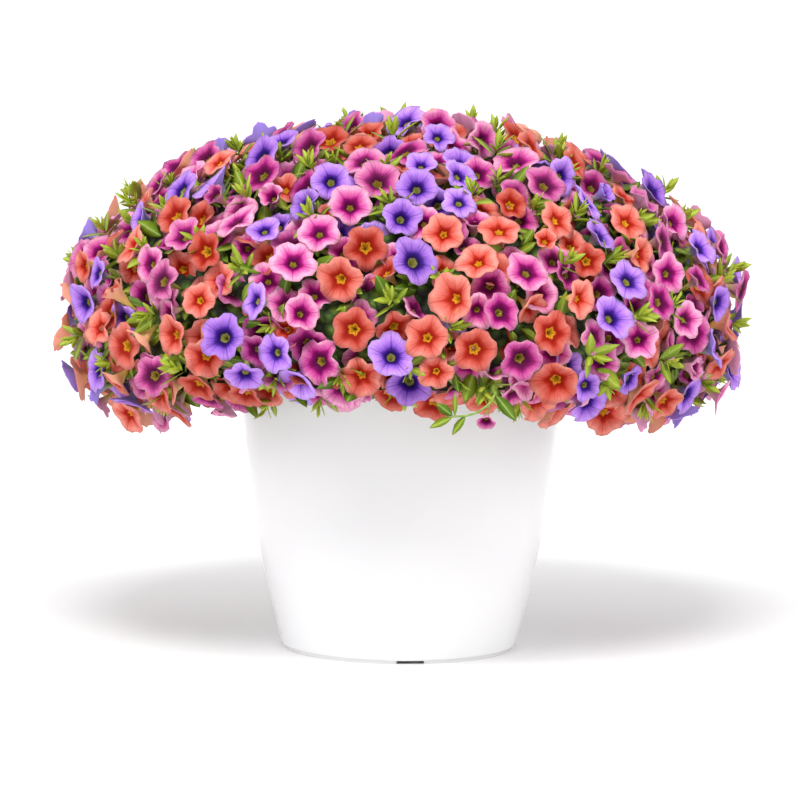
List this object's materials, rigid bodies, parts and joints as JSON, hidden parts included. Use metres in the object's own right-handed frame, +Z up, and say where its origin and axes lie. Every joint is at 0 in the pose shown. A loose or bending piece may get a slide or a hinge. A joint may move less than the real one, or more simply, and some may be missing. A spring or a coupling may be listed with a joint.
{
  "type": "potted calibrachoa",
  "caption": "Mixed violet, pink and coral calibrachoa in a dome of small funnel blooms that spills over a tapered round white planter.",
  "frame": {"origin": "on the ground, at the middle of the planter's foot", "axes": "+Z up along the planter's axis; -Y towards the front, where the foot's drain gap is; +X to the right seen from the front"},
  "size_m": [0.5493, 0.5464, 0.4355],
  "materials": {
    "planter": "moulded white plastic, glossy",
    "potting_soil": "dark moist potting mix, matt",
    "foliage": "fresh green leaves and stems, finely haired",
    "violet_petals": "violet petals with a dark eye, velvety",
    "pink_petals": "pink petals with a magenta eye, velvety",
    "coral_petals": "coral petals with a red star and a yellow throat, velvety"
  },
  "bodies": {
    "root": {"coral_stem_01": "coral_petals", "coral_stem_02": "coral_petals", "coral_stem_03": "coral_petals", "coral_stem_04": "coral_petals", "coral_stem_05": "coral_petals", "coral_stem_06": "coral_petals", "coral_stem_07": "coral_petals", "coral_stem_08": "coral_petals", "coral_stem_09": "coral_petals", "coral_stem_10": "coral_petals", "coral_stem_11": "coral_petals", "coral_stem_12": "coral_petals", "coral_stem_13": "coral_petals", "coral_stem_14": "coral_petals", "coral_stem_15": "coral_petals", "foliage": "foliage", "pink_stem_01": "pink_petals", "pink_stem_02": "pink_petals", "pink_stem_03": "pink_petals", "pink_stem_04": "pink_petals", "pink_stem_05": "pink_petals", "pink_stem_06": "pink_petals", "pink_stem_07": "pink_petals", "pink_stem_08": "pink_petals", "pink_stem_09": "pink_petals", "pink_stem_10": "pink_petals", "pink_stem_11": "pink_petals", "pink_stem_12": "pink_petals", "pink_stem_13": "pink_petals", "pink_stem_14": "pink_petals", "pot": "planter", "soil": "potting_soil", "violet_stem_01": "violet_petals", "violet_stem_02": "violet_petals", "violet_stem_03": "violet_petals", "violet_stem_04": "violet_petals", "violet_stem_05": "violet_petals", "violet_stem_06": "violet_petals", "violet_stem_07": "violet_petals", "violet_stem_08": "violet_petals", "violet_stem_09": "violet_petals", "violet_stem_10": "violet_petals", "violet_stem_11": "violet_petals", "violet_stem_12": "violet_petals"}
  },
  "joints": []
}
